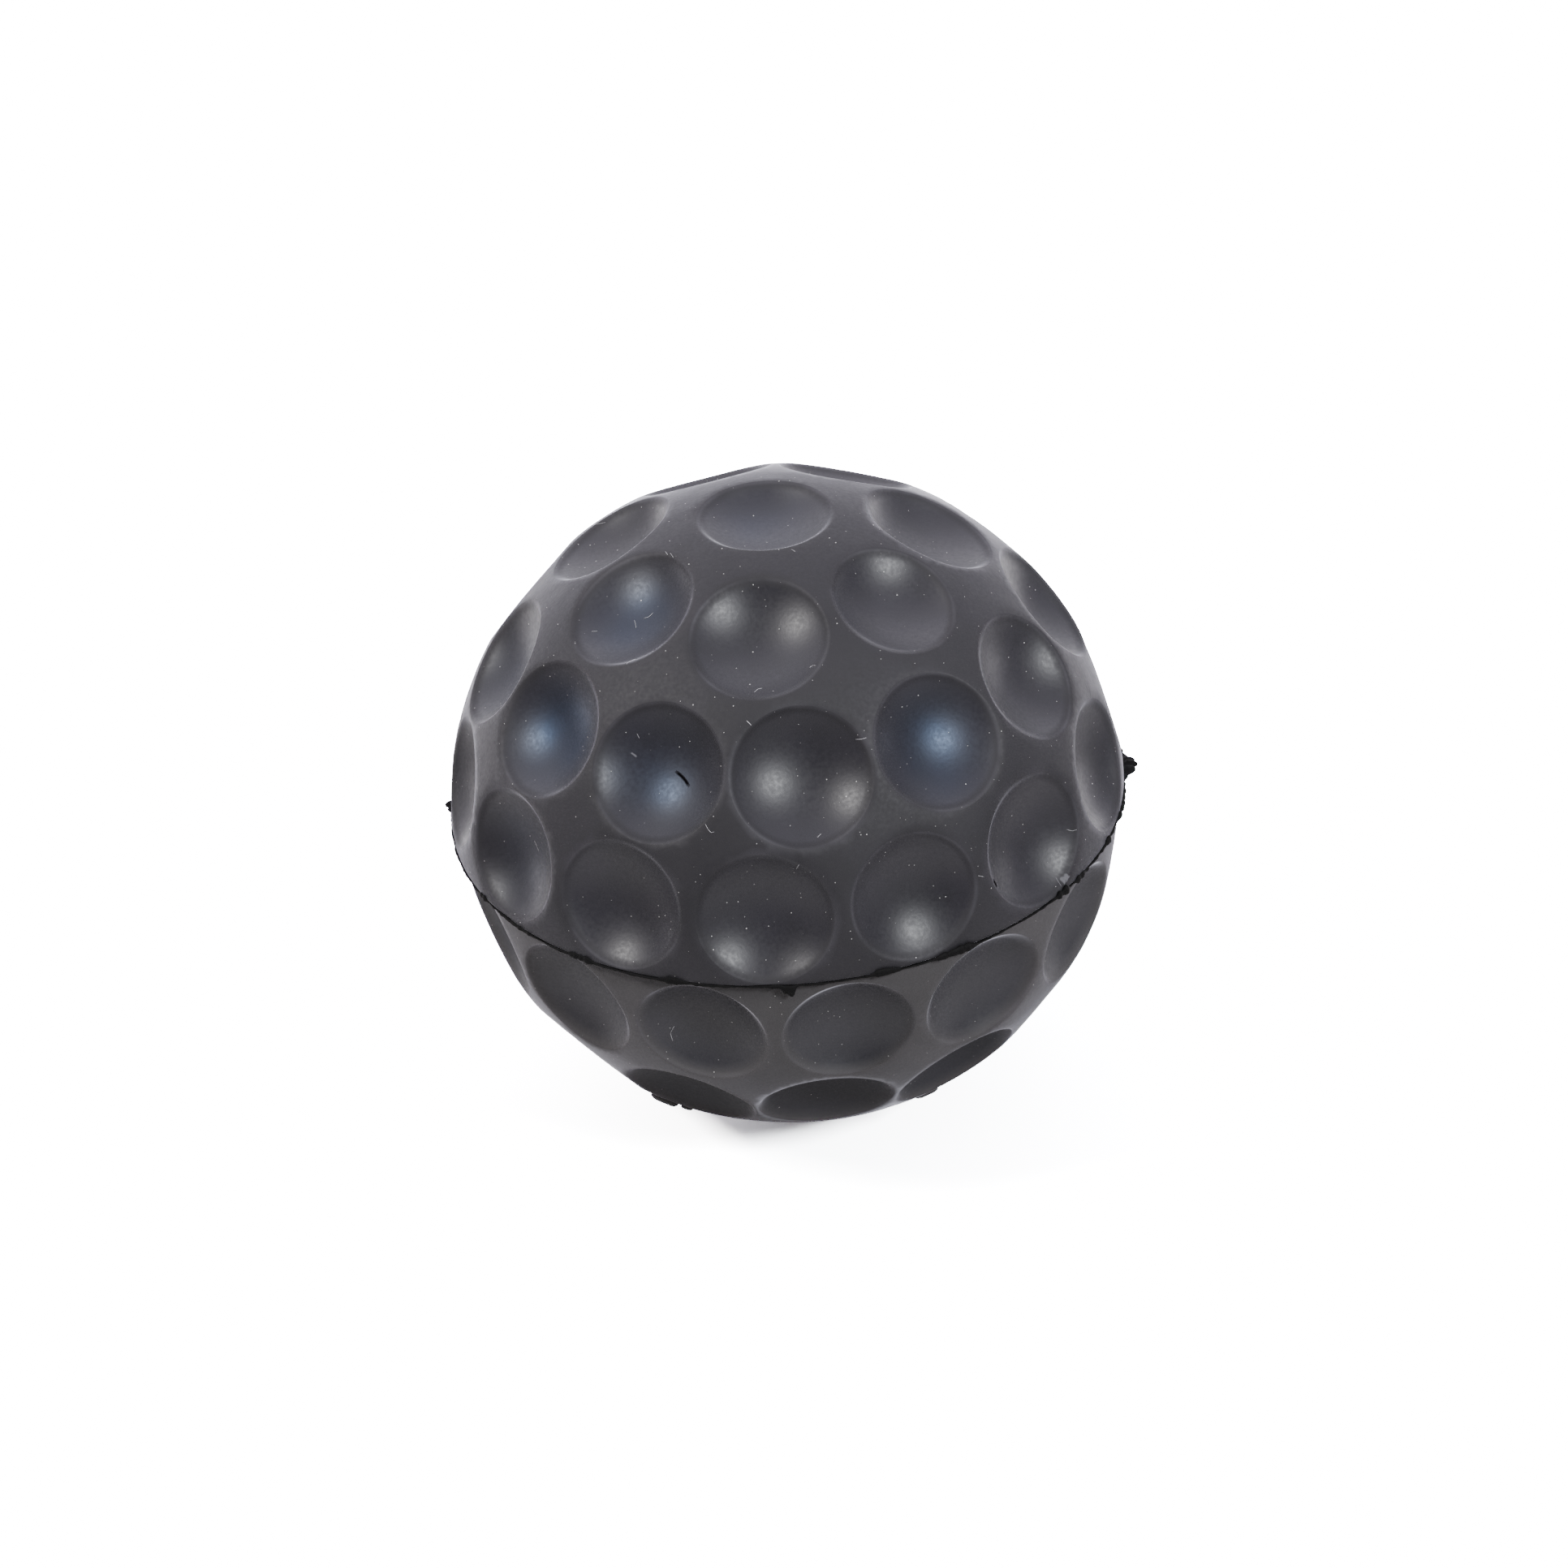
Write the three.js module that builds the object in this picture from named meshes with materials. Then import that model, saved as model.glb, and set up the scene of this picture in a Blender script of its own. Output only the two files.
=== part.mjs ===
// A hollow moulded rubber friction ball for opening screwed watch case backs.
// Two dimpled half shells meet at a level seam. The ball stands on the rim of its lowest dimple.
// Millimetres, +Z up, origin on the table under the middle of the ball, -Y to the front.
import * as THREE from "three";
import { ConvexHull } from "three/addons/math/ConvexHull.js";

// ---- driving dimensions ----
const BALL_RADIUS = 32.5; // upper half at the seam, over the land between the dimples
const LOWER_RADIUS = 31.85; // the lower half came out of its mould a little smaller
const LOWER_SHIFT = 0.2; // and sits a little to the right of the upper one
const FLATTENING = 0.985; // height of each half as a share of a true half sphere's
const WALL = 6; // shell thickness between the dimples
const SEAM_GAP = 0.2; // space between the two shells' edges, filled by the cement and the flash
const SEAM_RAISE = 0.6; // how far the seam runs above the ball's middle: the upper edge was ground back further

const RIM_RADIUS = 6.45; // of each dimple's mouth
const RIM_LAND = 0.35; // flat ring inside the rim, where the edge is broken
const BOWL_CENTRE = 7.2; // the bowl's centre of curvature, above the rim's plane
const RING_COUNTS = [1, 7, 12, 14]; // dimples in each ring, from the pole to the seam
const UPPER_LATITUDES = [90, 61, 36.4, 12.95];
const LOWER_LATITUDES = [90, 61, 36.2, 11.9];
const UPPER_TURN = -56.9; // degrees from the front, where the three rings of a half line up
const LOWER_TURN = 32.55;

const FLASH_REACH = 0.22; // how far the torn fin stands out of the seam, on average
const FLASH_THICKNESS = 0.12;
const FLASH_INNER_RADIUS = LOWER_RADIUS - 0.5;
const NUBS = [
  { angle: 0, reach: 0.75, spread: 0.04 }, // right
  { angle: Math.PI, reach: 0.38, spread: 0.05 }, // left
];

const BEAD_WIDTH = 0.5; // cement squeezed out into the hollow
const BEAD_HEIGHT = 0.9;
const CEMENT_THICKNESS = 0.12;

const PLUG_RADIUS = 6.5; // self-sealing inflation plug, on the hollow's floor
const PLUG_HEIGHT = 3.2;

// ---- mesh fineness ----
const DIMPLE_SIDES = 16;
const EDGE_SIDES = 56;
const HOLLOW_BANDS = 6;
const FLASH_SIDES = 168;

// ---- derived ----
const rad = THREE.MathUtils.degToRad;
const HOLLOW_RADIUS = BALL_RADIUS - WALL;
const CENTRE_HEIGHT = FLATTENING * Math.sqrt(LOWER_RADIUS ** 2 - RIM_RADIUS ** 2);

const rubber = (color, roughness) => new THREE.MeshStandardMaterial({ color, roughness, metalness: 0 });
const shellRubber = rubber(0x3c3b3f, 0.62);
const flashRubber = rubber(0x141315, 0.8);
const cementRubber = rubber(0x1b1a1c, 0.75);
const plugRubber = rubber(0x2f2d2c, 0.7);

// Unit vector at a latitude and at a longitude counted from the front (-Y) towards +X.
const direction = (latitude, longitude) =>
  new THREE.Vector3(
    Math.cos(latitude) * Math.sin(longitude),
    -Math.cos(latitude) * Math.cos(longitude),
    Math.sin(latitude),
  );

const dimpleAxes = (latitudes, turn) =>
  RING_COUNTS.flatMap((count, ring) =>
    Array.from({ length: count }, (_, i) => direction(rad(latitudes[ring]), rad(turn) + (i * 2 * Math.PI) / count)),
  );

// One circle of points around an axis: `radius` out from it and `along` it.
function circleAround(axis, radius, along, sides) {
  const pole = Math.abs(axis.z) > 0.999 ? new THREE.Vector3(0, -1, 0) : new THREE.Vector3(0, 0, 1);
  const u = pole.addScaledVector(axis, -pole.dot(axis)).normalize();
  const v = new THREE.Vector3().crossVectors(axis, u);
  return Array.from({ length: sides }, (_, i) => {
    const a = ((i + 0.5) * 2 * Math.PI) / sides;
    return axis.clone().multiplyScalar(along)
      .addScaledVector(u, radius * Math.cos(a)).addScaledVector(v, radius * Math.sin(a));
  });
}

// A closed mesh under construction: triangles of Vector3 corners, shared by identity.
class Skin {
  constructor() {
    this.index = new Map();
    this.faces = [];
  }
  corner(p) {
    if (!this.index.has(p)) this.index.set(p, this.index.size);
    return this.index.get(p);
  }
  triangle(a, b, c) {
    this.faces.push(this.corner(a), this.corner(b), this.corner(c));
  }
  // Quads between two rings of equal length; `to` lies on the left of `from`'s direction of travel.
  strip(from, to) {
    from.forEach((p, i) => {
      const j = (i + 1) % from.length;
      this.triangle(p, from[j], to[j]);
      this.triangle(p, to[j], to[i]);
    });
  }
  fan(ring, tip) {
    ring.forEach((p, i) => this.triangle(p, ring[(i + 1) % ring.length], tip));
  }
  geometry() {
    const g = new THREE.BufferGeometry();
    g.setAttribute("position", new THREE.Float32BufferAttribute([...this.index.keys()].flatMap((p) => p.toArray()), 3));
    g.setIndex(this.faces);
    g.computeVertexNormals();
    return g;
  }
}

// The upper half of a dimpled shell with its centre at the origin. Its edge is cut at `edgeHeight`.
function halfShell(radius, latitudes, turn, edgeHeight) {
  const skin = new Skin();
  const rimHeight = Math.sqrt(radius ** 2 - RIM_RADIUS ** 2);
  const bowlRim = RIM_RADIUS - RIM_LAND;
  const bowlRadius = Math.hypot(BOWL_CENTRE, bowlRim);
  const bowlAt = (r) => rimHeight + BOWL_CENTRE - Math.sqrt(bowlRadius ** 2 - r ** 2);

  // The land is the part of the convex skin over all rims and the edge that covers no dimple.
  const edgeRadius = Math.sqrt(radius ** 2 - edgeHeight ** 2);
  const edge = circleAround(new THREE.Vector3(0, 0, 1), edgeRadius, edgeHeight, EDGE_SIDES);
  const below = new THREE.Vector3(0, 0, -radius / 4);
  const caps = new Set([below]);
  const points = [...edge, below];
  for (const axis of dimpleAxes(latitudes, turn)) {
    const rim = circleAround(axis, RIM_RADIUS, rimHeight, DIMPLE_SIDES);
    const cap = axis.clone().multiplyScalar(radius);
    caps.add(cap);
    points.push(...rim, cap);

    const land = circleAround(axis, bowlRim, rimHeight, DIMPLE_SIDES);
    const middle = circleAround(axis, bowlRim * 0.7, bowlAt(bowlRim * 0.7), DIMPLE_SIDES);
    const inner = circleAround(axis, bowlRim * 0.36, bowlAt(bowlRim * 0.36), DIMPLE_SIDES);
    skin.strip(rim, land);
    skin.strip(land, middle);
    skin.strip(middle, inner);
    skin.fan(inner, axis.clone().multiplyScalar(bowlAt(0)));
  }
  for (const face of new ConvexHull().setFromPoints(points).faces) {
    const [a, b, c] = [face.edge.prev, face.edge, face.edge.next].map((e) => e.head().point);
    if (![a, b, c].some((p) => caps.has(p))) skin.triangle(a, b, c);
  }

  // The hollow: bands of the inner sphere from the edge up to its crown.
  let ring = circleAround(new THREE.Vector3(0, 0, 1), HOLLOW_RADIUS, edgeHeight, EDGE_SIDES);
  skin.strip(ring, edge);
  for (let k = 1; k < HOLLOW_BANDS; k++) {
    const a = (k * Math.PI) / 2 / HOLLOW_BANDS;
    const next = circleAround(
      new THREE.Vector3(0, 0, 1), HOLLOW_RADIUS * Math.cos(a), HOLLOW_RADIUS * Math.sin(a), EDGE_SIDES);
    skin.strip(next, ring);
    ring = next;
  }
  skin.fan([...ring].reverse(), new THREE.Vector3(0, 0, HOLLOW_RADIUS));
  return skin.geometry().scale(1, 1, FLATTENING);
}

// Torn fin of rubber squeezed out of the seam: a thin ragged ring with a nub on each side.
function flashRing() {
  const reach = (a) => {
    const ragged = 0.07 * Math.sin(9 * a + 0.7) + 0.05 * Math.sin(23 * a + 2.1) + 0.04 * Math.sin(41 * a);
    const nubs = NUBS.map((n) => {
      const off = Math.atan2(Math.sin(a - n.angle), Math.cos(a - n.angle));
      return n.reach * Math.exp(-((off / n.spread) ** 2));
    });
    return Math.max(0.06, FLASH_REACH + ragged) + Math.max(...nubs);
  };
  const outline = new THREE.Shape(
    Array.from({ length: FLASH_SIDES }, (_, i) => {
      const a = (i * 2 * Math.PI) / FLASH_SIDES;
      const r = BALL_RADIUS + reach(a);
      return new THREE.Vector2(r * Math.cos(a), r * Math.sin(a));
    }),
  );
  outline.holes.push(
    new THREE.Path(
      Array.from({ length: EDGE_SIDES }, (_, i) => {
        const a = (-i * 2 * Math.PI) / EDGE_SIDES;
        return new THREE.Vector2(FLASH_INNER_RADIUS * Math.cos(a), FLASH_INNER_RADIUS * Math.sin(a));
      }),
    ),
  );
  const fin = new THREE.ExtrudeGeometry(outline, { depth: FLASH_THICKNESS, bevelEnabled: false });
  return fin.translate(0, 0, -FLASH_THICKNESS / 2);
}

// Lathe of (radius, height) points about Z.
function turned(profile, sides) {
  const lathe = new THREE.LatheGeometry(profile.map(([r, z]) => new THREE.Vector2(r, z)), sides);
  return lathe.rotateX(Math.PI / 2);
}

// Rubber cement between the edges, with a bead on the side of the hollow.
function cementRing() {
  const beadOuter = HOLLOW_RADIUS - LOWER_SHIFT - 0.15;
  const beadInner = beadOuter - BEAD_WIDTH;
  const outer = FLASH_INNER_RADIUS - 0.15;
  const [t, h] = [CEMENT_THICKNESS / 2, BEAD_HEIGHT / 2];
  return turned(
    [[beadInner, -h * 0.6], [beadOuter, -h], [beadOuter, -t], [outer, -t], [outer, t], [beadOuter, t],
      [beadOuter, h], [beadInner, h * 0.6], [beadInner, -h * 0.6]],
    EDGE_SIDES,
  );
}

// Domed plug with a foot that follows the hollow's floor.
function inflationPlug() {
  const floor = (r) => -FLATTENING * Math.sqrt((HOLLOW_RADIUS - 0.4) ** 2 - r ** 2);
  const foot = floor(0);
  const side = floor(PLUG_RADIUS);
  return turned(
    [[0, foot], [PLUG_RADIUS * 0.5, floor(PLUG_RADIUS * 0.5)], [PLUG_RADIUS, side], [PLUG_RADIUS - 0.6, side + 0.9],
      [PLUG_RADIUS * 0.6, foot + PLUG_HEIGHT - 0.4], [PLUG_RADIUS * 0.25, foot + PLUG_HEIGHT], [0, foot + PLUG_HEIGHT]],
    24,
  );
}

function piece(name, geometry, material) {
  const mesh = new THREE.Mesh(geometry, material);
  mesh.name = name;
  return mesh;
}

const ball = new THREE.Group();
ball.position.z = CENTRE_HEIGHT;

const upperShell = halfShell(BALL_RADIUS, UPPER_LATITUDES, UPPER_TURN, SEAM_GAP / 2 + SEAM_RAISE);
ball.add(piece("upper_half_shell", upperShell, shellRubber));

// The lower half is built the same way and turned over: half a turn about X sends longitude L to 180 - L.
const lowerShell = halfShell(LOWER_RADIUS, LOWER_LATITUDES, 180 - LOWER_TURN, SEAM_GAP / 2 - SEAM_RAISE);
const lower = piece("lower_half_shell", lowerShell, shellRubber);
lower.rotation.x = Math.PI;
lower.position.x = LOWER_SHIFT;
ball.add(lower);

for (const [name, ring, material] of [
  ["seam_flash_ring", flashRing(), flashRubber],
  ["seam_cement_ring", cementRing(), cementRubber],
]) {
  const inSeam = piece(name, ring, material);
  inSeam.position.z = SEAM_RAISE * FLATTENING;
  ball.add(inSeam);
}

const plug = piece("inflation_plug", inflationPlug(), plugRubber);
plug.position.x = LOWER_SHIFT;
ball.add(plug);

const group = new THREE.Group();
group.add(ball);
group.updateMatrixWorld(true);

export default group;
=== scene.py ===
"""Looks of the case opening friction ball: two dimpled half shells moulded in soft black rubber,
the torn fin that stands out of the seam between them, the rubber cement inside the seam, the
plug it is inflated through, and the dust and lint that tacky rubber picks up.

Lengths in the numbers below are millimetres. +Z is up, -Y is the front, and longitudes are
counted in degrees from the front towards +X.
"""
import math

import bpy
import numpy as np
from mathutils import Matrix, Vector
from mathutils.geometry import delaunay_2d_cdt


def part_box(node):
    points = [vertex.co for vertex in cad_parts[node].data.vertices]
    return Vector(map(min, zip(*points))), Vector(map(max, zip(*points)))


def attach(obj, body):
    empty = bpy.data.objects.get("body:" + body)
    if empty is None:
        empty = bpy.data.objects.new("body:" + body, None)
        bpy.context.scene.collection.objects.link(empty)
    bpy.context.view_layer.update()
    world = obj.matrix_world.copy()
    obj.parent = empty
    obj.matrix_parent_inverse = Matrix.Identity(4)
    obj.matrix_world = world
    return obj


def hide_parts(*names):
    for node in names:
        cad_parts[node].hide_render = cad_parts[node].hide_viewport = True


MM = 0.001

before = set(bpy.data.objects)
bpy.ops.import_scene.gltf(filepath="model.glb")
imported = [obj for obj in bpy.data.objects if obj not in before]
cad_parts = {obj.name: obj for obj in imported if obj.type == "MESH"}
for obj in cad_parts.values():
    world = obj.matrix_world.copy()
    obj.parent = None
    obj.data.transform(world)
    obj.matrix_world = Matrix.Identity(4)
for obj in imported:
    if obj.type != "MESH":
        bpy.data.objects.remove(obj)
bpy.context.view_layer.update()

# ---- the ball's dimensions, as in the CAD part ----
UPPER_RADIUS = 32.5
LOWER_RADIUS = 31.85
LOWER_SHIFT = 0.2
FLATTENING = 0.985
HOLLOW_RADIUS = 26.5
HALF_GAP = 0.1
SEAM_RAISE = 0.6  # the seam runs this far above the ball's middle
RING_COUNTS = [1, 7, 12, 14]
UPPER_LATITUDES = [90, 61, 36.4, 12.95]
LOWER_LATITUDES = [90, 61, 36.2, 11.9]
UPPER_TURN = -56.9
LOWER_TURN = 32.55
FLASH_INNER_RADIUS = LOWER_RADIUS - 0.5

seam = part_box("seam_flash_ring")
SEAM_HEIGHT = (seam[0].z + seam[1].z) / 2 / MM
CENTRE_HEIGHT = SEAM_HEIGHT - SEAM_RAISE * FLATTENING

# ---- the dimples ----
MOUTH_RADIUS = 6.38  # where a dimple's bowl would meet the land, before the edge is rounded
BOWL_RADIUS = 9.6
MOUTH_SPREAD, BOWL_SPREAD = 0.006, 0.02  # how much these differ from dimple to dimple, as shares
UPPER_ROUNDING, LOWER_ROUNDING = 0.42, 0.24  # how widely the edges of the dimples are rounded
NEIGHBOUR_ANGLE = 23.7  # between the dimples that are closest to each other, in degrees
MARGIN = 0.04  # kept free between a dimple's mouth, its outermost ring of points and the seam
# Dimples that are wider or narrower than the rest: ring, place in the ring, difference in radius
UPPER_ODD_MOUTHS = [
    (1, 2, -0.33), (1, 3, 0.2), (2, 0, 0.12), (2, 1, 0.15), (2, 2, 0.22), (2, 3, 0.09),
    (2, 4, -0.2), (3, 0, 0.06), (3, 1, 0.03), (3, 2, 0.05), (3, 3, -0.18),
]
LOWER_ODD_MOUTHS = [(3, 0, 0.13), (3, 1, -0.09), (3, 13, -0.14), (2, 11, 0.12)]
# Dimples with a bloom of oil on them that shines bluish: ring, place in the ring, how much
BLOOMED = [
    (2, 0, 1.2), (2, 3, 1.0), (2, 1, 0.7), (1, 0, 0.6), (0, 0, 0.35), (3, 0, 0.3), (2, 11, 0.4),
]
BLOOM_STEEPNESS = 1.6  # how fast the bloom fades from the middle of a dimple to its edge
# The glossier finish of a bowl starts this far inside its mouth, and is full this much further in.
BOWL_FINISH_START, BOWL_FINISH_BLEND = 0.15, 0.5
HIGHLIGHT_LINE_WIDTH = 0.16  # of the highlight painted as a pale line along a dimple's edge

# ---- how finely and how unevenly the shells are made ----
DIMPLE_SIDES = 84
BOWL_RINGS = [0.5 * k for k in range(1, 12)]
EDGE_RINGS = [  # from the mouth
    -0.63, -0.44, -0.31, -0.22, -0.15, -0.09, -0.04, 0.0, 0.2, 0.42, 0.7, 1.0]
EDGE_SIDES = 480
HOLLOW_RINGS = 13
LAND_SPACING = 0.66
ROW_CLOSENESS = 0.866  # points of the land lie in rows, as in a honeycomb
LAND_SWELL, LAND_RIPPLE = (0.03, 14), (0.008, 3.1)  # height, and from one wave to the next
ROUNDING_CHANGE = (0.45, 7)  # how much of the rounding comes and goes, and over what length
# The broken edge at the seam: how far back from the land, how high above the seam's middle
EDGE_START = 0.2
EDGE_STEPS = [(0.012, 0.165), (0.04, 0.135), (0.085, 0.115), (0.15, HALF_GAP)]
UPPER_LIP_HIGHLIGHT, LOWER_LIP_HIGHLIGHT = 0.3, 1.0  # how strongly a highlight is painted pale on each half's edge at the seam


def direction(latitude, longitude):
    lat, lon = np.radians(latitude), np.radians(longitude)
    return np.stack(
        [np.cos(lat) * np.sin(lon), -np.cos(lat) * np.cos(lon), np.sin(lat) + 0 * lon], -1)


def unit(v):
    return v / np.linalg.norm(v, axis=-1, keepdims=True)


def unevenness(points, wavelength, seed):
    """Smooth random waves through space, about -1 to 1, the same on every run."""
    waves, highest = 24, 1.6
    rng = np.random.default_rng(seed)
    k = unit(rng.normal(size=(waves, 3))) * 2 * np.pi / wavelength
    k *= rng.uniform(0.6, 1.5, (waves, 1))
    phase = rng.uniform(0, 2 * np.pi, waves)
    return np.cos(points @ k.T + phase).sum(1) / math.sqrt(waves / 2) / highest


def round_min(a, b, width):
    """The smaller of two heights, with the corner between them rounded."""
    h = np.maximum(width - np.abs(a - b), 0) / width
    return np.minimum(a, b) - h * h * width / 4


def ring_wall(previous, now):
    """Faces between two rings of points of the seam's edge or of the hollow."""
    return np.stack([now, np.roll(now, -1), np.roll(previous, -1), previous], 1).tolist()


class HalfShell:
    """One moulding: a dimpled half sphere, built as an upper half and turned over for the lower."""

    def __init__(self, radius, latitudes, turn, side, shift, rounding, odd_mouths, bloomed, seed):
        self.radius, self.side, self.shift = radius, side, shift
        self.rounding, self.seed = rounding, seed
        self.edge = side * SEAM_RAISE
        self.lip_highlight = UPPER_LIP_HIGHLIGHT if side > 0 else LOWER_LIP_HIGHLIGHT
        rng = np.random.default_rng(seed)
        axes = [direction(lat * side, turn + i * 360 / n)
                for lat, n in zip(latitudes, RING_COUNTS) for i in range(n)]
        self.axes = np.array(axes) * [1, 1, side]
        self.mouths = MOUTH_RADIUS * (1 + rng.uniform(-MOUTH_SPREAD, MOUTH_SPREAD, len(axes)))
        first = np.cumsum([0] + RING_COUNTS)
        for ring, place, wider in odd_mouths:
            self.mouths[first[ring] + place] += wider
        self.bloomed = np.zeros(len(axes))
        for ring, place, much in bloomed:
            self.bloomed[first[ring] + place] = much
        # Neighbouring dimples come within half a millimetre, so their outermost rings of points
        # stop half way, and those of the dimples next to the seam stop short of it.
        self.reach = 0.995 * self.radius * math.radians(NEIGHBOUR_ANGLE) / 2
        brink = math.degrees(math.asin((self.edge + EDGE_START + MARGIN) / radius))
        self.reaches = np.minimum(
            self.reach, radius * np.radians(np.repeat(latitudes, RING_COUNTS) - brink))
        self.mouths = np.minimum(self.mouths, self.reaches - MARGIN)
        self.bowls = BOWL_RADIUS * (1 + rng.uniform(-BOWL_SPREAD, BOWL_SPREAD, len(axes)))
        self.points, self.faces, self.bowl, self.rim, self.bloom = [], [], [], [], []

    def waves(self, dirs, wavelength, layer):
        return unevenness(dirs * self.radius, wavelength, self.seed + layer)

    def surface(self, dirs):
        """Distance from the ball's centre, how much it is a bowl, how far it is from the nearest
        dimple's edge, and its bloom."""
        land = self.radius + LAND_SWELL[0] * self.waves(dirs, LAND_SWELL[1], 1)
        land += LAND_RIPPLE[0] * self.waves(dirs, LAND_RIPPLE[1], 2)
        width = self.rounding * (1 + ROUNDING_CHANGE[0] * self.waves(dirs, ROUNDING_CHANGE[1], 3))
        r, depth, bloom = land.copy(), np.zeros(len(dirs)), np.zeros(len(dirs))
        off_edge = np.full(len(dirs), MOUTH_RADIUS)
        for axis, mouth, bowl, much in zip(self.axes, self.mouths, self.bowls, self.bloomed):
            cos = np.clip(dirs @ axis, -1, 1)
            here = np.nonzero(cos > math.cos(1.35 * mouth / self.radius))[0]
            if not len(here):
                continue
            c = cos[here]
            high = math.sqrt(self.radius**2 - mouth**2) + math.sqrt(bowl**2 - mouth**2)
            dip = high * c - np.sqrt(np.maximum(bowl**2 - high**2 * (1 - c * c), 0))
            r[here] = round_min(r[here], dip, width[here])
            arc = np.arccos(c) * self.radius
            inside = np.clip((mouth - BOWL_FINISH_START - arc) / BOWL_FINISH_BLEND, 0, 1)
            depth[here] = np.maximum(depth[here], inside)
            off_edge[here] = np.minimum(off_edge[here], np.abs(arc - mouth))
            film = much * np.clip(BLOOM_STEEPNESS * (1 - arc / mouth), 0, 1)
            bloom[here] = np.maximum(bloom[here], film)
        return r, depth, off_edge, bloom

    def place(self, points):
        """From the half's own frame to the row frame, in millimetres."""
        p = points * [1, 1, FLATTENING * self.side]
        return p + [self.shift, 0, CENTRE_HEIGHT]

    def on_land(self, latitude, longitude, lift=0.0):
        """A point of the finished surface, at a latitude and longitude of the whole ball."""
        d = np.atleast_2d(direction(np.asarray(latitude, float), np.asarray(longitude, float)))
        d = d * [1, 1, self.side]
        r = self.surface(d)[0] + lift
        return self.place(d * r[:, None])

    def add(self, points, bowl=0.0, rim=0.0, bloom=0.0):
        first = sum(len(p) for p in self.points)
        self.points.append(points)
        for layer, value in ((self.bowl, bowl), (self.rim, rim), (self.bloom, bloom)):
            layer.append(value + np.zeros(len(points)))
        return np.arange(first, first + len(points))

    def add_surface(self, dirs):
        r, depth, off_edge, bloom = self.surface(dirs)
        # A highlight painted pale along each dimple's edge, where light catches it.
        painted_highlight = np.exp(-((off_edge / HIGHLIGHT_LINE_WIDTH) ** 2))
        return self.add(dirs * r[:, None], depth, painted_highlight, bloom)

    def build(self):
        loops = []
        turns = np.arange(DIMPLE_SIDES) * 2 * np.pi / DIMPLE_SIDES
        close = min(1, self.rounding / 0.4)  # a sharper edge needs its rings closer together
        for axis, mouth, reach in zip(self.axes, self.mouths, self.reaches):
            outward = min(mouth + 0.26 * close, reach) - mouth
            rings = [arc for arc in BOWL_RINGS if arc < mouth - 0.75]
            rings += [mouth + e * (close if e <= 0 else outward) for e in EDGE_RINGS]
            u = unit(np.cross(axis, [0.31, 0.95, 0.05]))
            v = np.cross(axis, u)
            around = np.cos(turns)[:, None] * u + np.sin(turns)[:, None] * v
            middle = int(self.add_surface(axis[None])[0])
            inner = None
            for arc in rings:
                t = arc / self.radius
                ring = self.add_surface(axis * math.cos(t) + around * math.sin(t))
                ahead = np.roll(ring, -1)
                if inner is None:
                    self.faces += [[middle, int(p), int(q)] for p, q in zip(ring, ahead)]
                else:
                    self.faces += np.stack([inner, ring, ahead, np.roll(inner, -1)], 1).tolist()
                inner = ring
            loops.append(inner)
        edge = self.seam_edge()
        self.land(loops, edge)
        return self

    def seam_edge(self):
        """The broken edge at the seam, the flat that is cemented, and the hollow behind it."""
        a = np.arange(EDGE_SIDES) * 2 * np.pi / EDGE_SIDES
        out = np.stack([np.cos(a), np.sin(a), 0 * a], 1)
        up = np.array([0, 0, 1.0])

        def ring(radius, height, painted_highlight=0.0):
            points = out * np.reshape(radius, (-1, 1)) + up * np.reshape(height, (-1, 1))
            return self.add(points, rim=painted_highlight)

        start = self.edge + EDGE_START + 0 * a
        dirs = unit(out * np.sqrt(self.radius**2 - start**2)[:, None] + up * start[:, None])
        first = previous = self.add_surface(dirs)
        full = np.linalg.norm(self.points[-1][:, :2], axis=1)
        # Small chips a few millimetres apart, and shallower longer ones
        chips = 0.18 * np.maximum(self.waves(out, 2.3, 5), 0)
        chips += 0.12 * np.maximum(self.waves(out, 9.0, 6), 0)
        # Each step of the broken edge at the seam carries the lip's painted highlight.
        for back, height in EDGE_STEPS:
            now = ring(full - back * (1 + chips), self.edge + height + 0 * a, self.lip_highlight)
            self.faces += ring_wall(previous, now)
            previous = now
        for k in range(HOLLOW_RINGS):
            t = math.radians(90 * k / HOLLOW_RINGS)
            height = HOLLOW_RADIUS * math.sin(t) if k else self.edge + HALF_GAP
            now = ring(HOLLOW_RADIUS * math.cos(t) + 0 * a, height + 0 * a)
            self.faces += ring_wall(previous, now)
            previous = now
        crown = int(self.add(np.array([[0, 0, float(HOLLOW_RADIUS)]]))[0])
        self.faces += [[crown, int(q), int(p)] for p, q in zip(previous, np.roll(previous, -1))]
        return first

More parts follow.
